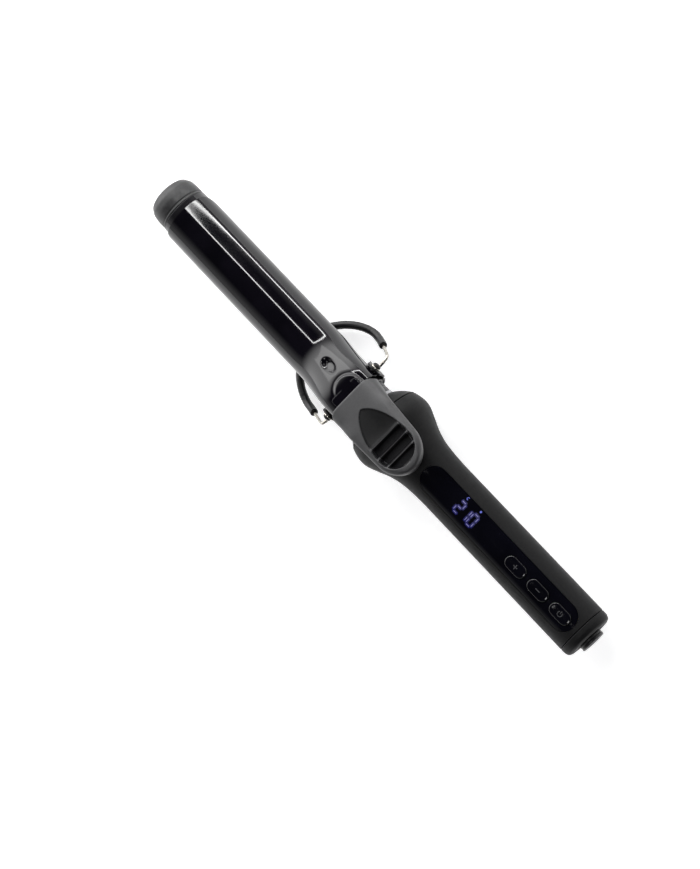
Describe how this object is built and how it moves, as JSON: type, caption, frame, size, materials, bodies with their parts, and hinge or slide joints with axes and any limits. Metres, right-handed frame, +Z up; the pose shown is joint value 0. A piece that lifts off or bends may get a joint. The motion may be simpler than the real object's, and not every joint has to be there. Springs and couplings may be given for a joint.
{
  "type": "curling iron",
  "caption": "Clamp curling iron with a round barrel, spring clip and thumb lever, folding wire stand, bulbous handle, display panel with push buttons and a swivelling cord gland.",
  "frame": {"origin": "bottom centre of the iron: half way along it, under the bulb's lowest point", "axes": "+X along the iron from the cool tip to the cord gland, +Z up through the thumb lever, +Y to the right seen from the cord end"},
  "size_m": [0.367, 0.0632, 0.0635],
  "materials": {
    "coated_metal": "gloss",
    "charcoal_plastic": "soft-touch matte",
    "black_plastic": "satin",
    "gloss_panel": "high gloss",
    "grey_trim": "satin",
    "bright_steel": "polished",
    "black_steel": "satin",
    "black_rubber": "matte",
    "aluminium": "as extruded",
    "ceramic": "matte",
    "circuit_board": "solder mask",
    "brass": "bright",
    "lead_sleeve": "woven glass fibre sleeve"
  },
  "bodies": {
    "handle": {"barrel_tube": "coated_metal", "front_ring": "charcoal_plastic", "handle_top_shell": "charcoal_plastic", "handle_bottom_shell": "charcoal_plastic", "end_cap": "charcoal_plastic", "tip_cap": "black_plastic", "neck_tube": "black_plastic", "display_module": "black_plastic", "switch_plus": "black_plastic", "switch_minus": "black_plastic", "switch_power": "black_plastic", "triac": "black_plastic", "swivel_housing": "black_plastic", "display_lens": "gloss_panel", "neck_collar": "grey_trim", "filter_capacitor": "grey_trim", "hinge_washer_left": "bright_steel", "hinge_washer_right": "bright_steel", "return_spring": "bright_steel", "thermal_fuse": "bright_steel", "board_screw_front": "bright_steel", "board_screw_rear": "bright_steel", "hinge_saddle": "black_steel", "hinge_rivet_left": "black_steel", "hinge_rivet_right": "black_steel", "saddle_screw": "black_steel", "shell_screw_left": "black_steel", "shell_screw_right": "black_steel", "heat_spreader_upper": "aluminium", "heat_spreader_lower": "aluminium", "heater_plate": "ceramic", "thermistor": "ceramic", "insulation_disc": "ceramic", "main_board": "circuit_board", "contact_live": "brass", "contact_neutral": "brass", "heater_lead_left": "lead_sleeve", "heater_lead_right": "lead_sleeve", "sensor_lead_left": "lead_sleeve", "sensor_lead_right": "lead_sleeve", "mains_lead_live": "lead_sleeve", "mains_lead_neutral": "lead_sleeve"},
    "clamp": {"clamp_blade": "coated_metal", "thumb_lever": "charcoal_plastic", "lever_screw_left": "bright_steel", "lever_screw_right": "bright_steel"},
    "stand": {"stand_wire": "bright_steel", "stand_sleeve": "black_rubber"},
    "plus_key": {"button_plus": "gloss_panel"},
    "minus_key": {"button_minus": "gloss_panel"},
    "power_key": {"button_power": "gloss_panel"},
    "cord_swivel_head": {"swivel_gland": "black_plastic", "slip_ring_live": "brass", "slip_ring_neutral": "brass"}
  },
  "joints": [
    {"name": "clamp_hinge", "type": "hinge", "parent": "handle", "child": "clamp", "pos_m": [-0.0151, 0, 0.03575], "axis": [0, 1, 0], "range_deg": [0, 11], "stiffness_Nm_per_rad": 1.2, "springref_deg": -8.59, "deforming": ["return_spring"]},
    {"name": "stand_hinge", "type": "hinge", "parent": "handle", "child": "stand", "pos_m": [-0.016, 0, 0.02675], "axis": [0, -1, 0], "range_deg": [0, 80]},
    {"name": "button_plus_press", "type": "slide", "parent": "handle", "child": "plus_key", "axis": [0, 0, -1], "range_m": [0, 0.0008], "stiffness_N_per_m": 600, "springref_m": -0.0008},
    {"name": "button_minus_press", "type": "slide", "parent": "handle", "child": "minus_key", "axis": [0, 0, -1], "range_m": [0, 0.0008], "stiffness_N_per_m": 600, "springref_m": -0.0008},
    {"name": "button_power_press", "type": "slide", "parent": "handle", "child": "power_key", "axis": [0, 0, -1], "range_m": [0, 0.0008], "stiffness_N_per_m": 600, "springref_m": -0.0008},
    {"name": "cord_swivel", "type": "hinge", "parent": "handle", "child": "cord_swivel_head", "pos_m": [0.1775, 0, 0.02575], "axis": [1, 0, 0], "continuous": true}
  ]
}
